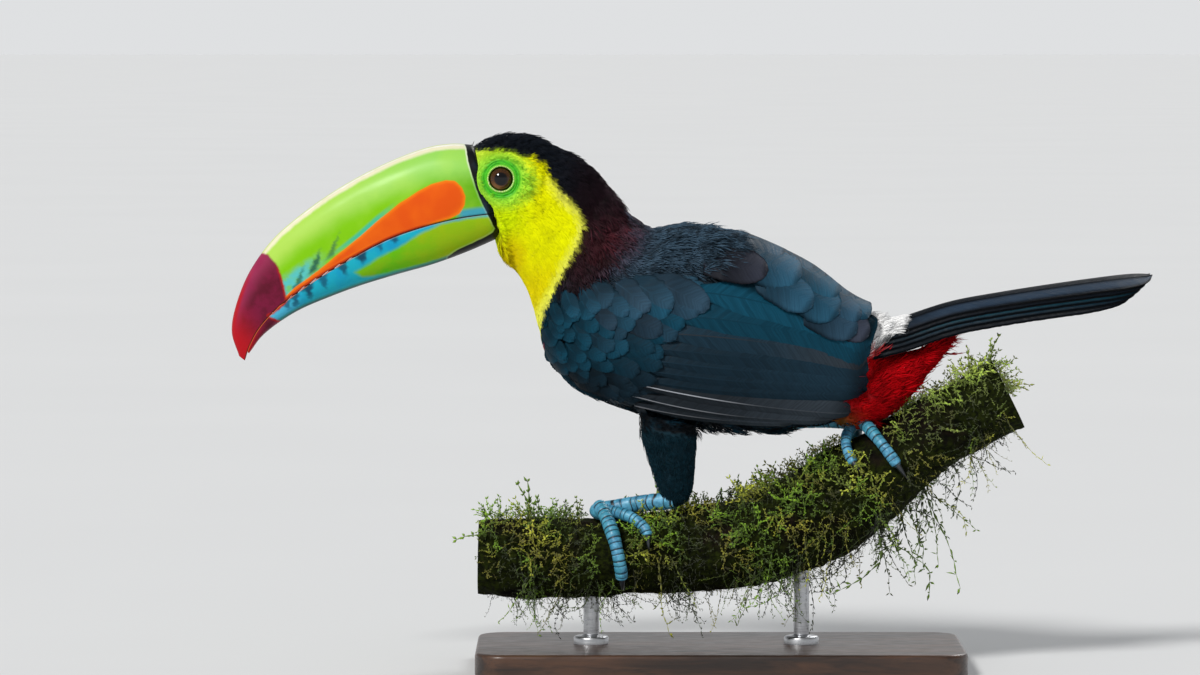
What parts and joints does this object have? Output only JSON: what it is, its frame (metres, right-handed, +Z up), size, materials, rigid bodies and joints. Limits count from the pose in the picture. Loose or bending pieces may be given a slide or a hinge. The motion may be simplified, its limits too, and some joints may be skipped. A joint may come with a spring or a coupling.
{
  "type": "keel-billed toucan on a perch",
  "caption": "Life-size still model of a keel-billed toucan standing along a short mossy branch, with its great curved bill held forward, on a flat base with rods.",
  "frame": {"origin": "centre of the underside of the stand's base", "axes": "+X from the bird's bill towards its tail, +Y towards the bird's right side, +Z up"},
  "size_m": [0.471, 0.12, 0.2736],
  "materials": {
    "face_plumage": "soft yellow feathers",
    "neck_plumage": "maroon-black feathers",
    "body_plumage": "black hair-like feathers",
    "rump_plumage": "white feathers",
    "undertail_plumage": "red feathers",
    "wing_coverts": "blue-black feathers with a soft sheen",
    "flight_feathers": "dark feathers with a soft sheen",
    "tail_feathers": "black feathers with a blue sheen",
    "eye": "wet gloss",
    "upper_bill": "satin horn, green with an orange blaze and a red tip",
    "lower_bill": "satin horn, blue and green with a red tip",
    "leg_scales": "scaled skin",
    "claws": "horn",
    "mossy_bark": "bark under moss",
    "stand_wood": "dark satin varnish",
    "stand_steel": "brushed"
  },
  "bodies": {
    "root": {"bill_lower": "lower_bill", "bill_upper": "upper_bill", "claw_left_front_inner": "claws", "claw_left_front_outer": "claws", "claw_left_rear_inner": "claws", "claw_left_rear_outer": "claws", "claw_right_front_inner": "claws", "claw_right_front_outer": "claws", "claw_right_rear_inner": "claws", "claw_right_rear_outer": "claws", "eye_left": "eye", "eye_right": "eye", "foot_left": "leg_scales", "foot_right": "leg_scales", "head": "face_plumage", "neck": "neck_plumage", "perch": "mossy_bark", "rump": "rump_plumage", "shank_left": "leg_scales", "shank_right": "leg_scales", "stand_base": "stand_wood", "stand_collar_front": "stand_steel", "stand_collar_rear": "stand_steel", "stand_rod_front": "stand_steel", "stand_rod_rear": "stand_steel", "tail_feather_left_1": "tail_feathers", "tail_feather_left_2": "tail_feathers", "tail_feather_left_3": "tail_feathers", "tail_feather_left_4": "tail_feathers", "tail_feather_left_5": "tail_feathers", "tail_feather_right_1": "tail_feathers", "tail_feather_right_2": "tail_feathers", "tail_feather_right_3": "tail_feathers", "tail_feather_right_4": "tail_feathers", "tail_feather_right_5": "tail_feathers", "thigh_left": "body_plumage", "thigh_right": "body_plumage", "trunk": "body_plumage", "undertail_coverts": "undertail_plumage", "wing_left_coverts": "wing_coverts", "wing_left_flight": "flight_feathers", "wing_left_scapulars": "wing_coverts", "wing_right_coverts": "wing_coverts", "wing_right_flight": "flight_feathers", "wing_right_scapulars": "wing_coverts"}
  },
  "joints": []
}
